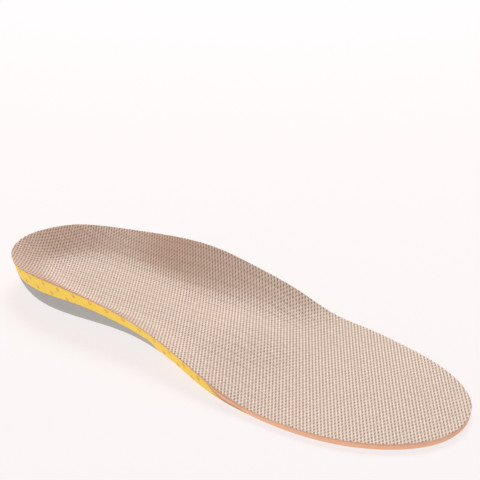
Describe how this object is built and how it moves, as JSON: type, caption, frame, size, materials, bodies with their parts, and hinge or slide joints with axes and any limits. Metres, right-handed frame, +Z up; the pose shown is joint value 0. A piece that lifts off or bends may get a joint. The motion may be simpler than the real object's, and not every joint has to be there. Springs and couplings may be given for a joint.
{
  "type": "cushioned insole",
  "caption": "Full-length right-foot insole with a deep heel cup, raised arch and metatarsal dome: fabric-covered foam over a perforated cushion, with a slotted support shell and a gel heel pad below.",
  "frame": {"origin": "middle of the footprint's box, on the plane that the insole rests on", "axes": "+X from heel to toe, +Y to the inner (arch) side of the foot, +Z up"},
  "size_m": [0.2602, 0.0945, 0.0252],
  "materials": {
    "top_cover_fabric": "fine knitted mesh, matte, pinkish beige",
    "base_foam": "matte peach foam with embossed wave lines on the underside",
    "cushion_foam": "matte yellow foam, fine ribs and small oval perforations",
    "support_shell": "matte mid grey, soft edges",
    "heel_gel": "glossy translucent green gel with rounded nubs"
  },
  "bodies": {
    "rearfoot": {"top_cover_rearfoot": "top_cover_fabric", "foam_base_rearfoot": "base_foam", "perforated_cushion": "cushion_foam", "arch_shell": "support_shell", "heel_gel_pad": "heel_gel"},
    "forefoot": {"top_cover_forefoot": "top_cover_fabric", "foam_base_forefoot": "base_foam"}
  },
  "joints": [
    {"name": "forefoot_flex", "type": "hinge", "parent": "rearfoot", "child": "forefoot", "pos_m": [0.06296, -0.00136, 0.0043], "axis": [-0.3566, -0.9343, 0], "range_deg": [0, 45], "stiffness_Nm_per_rad": 0.25}
  ]
}
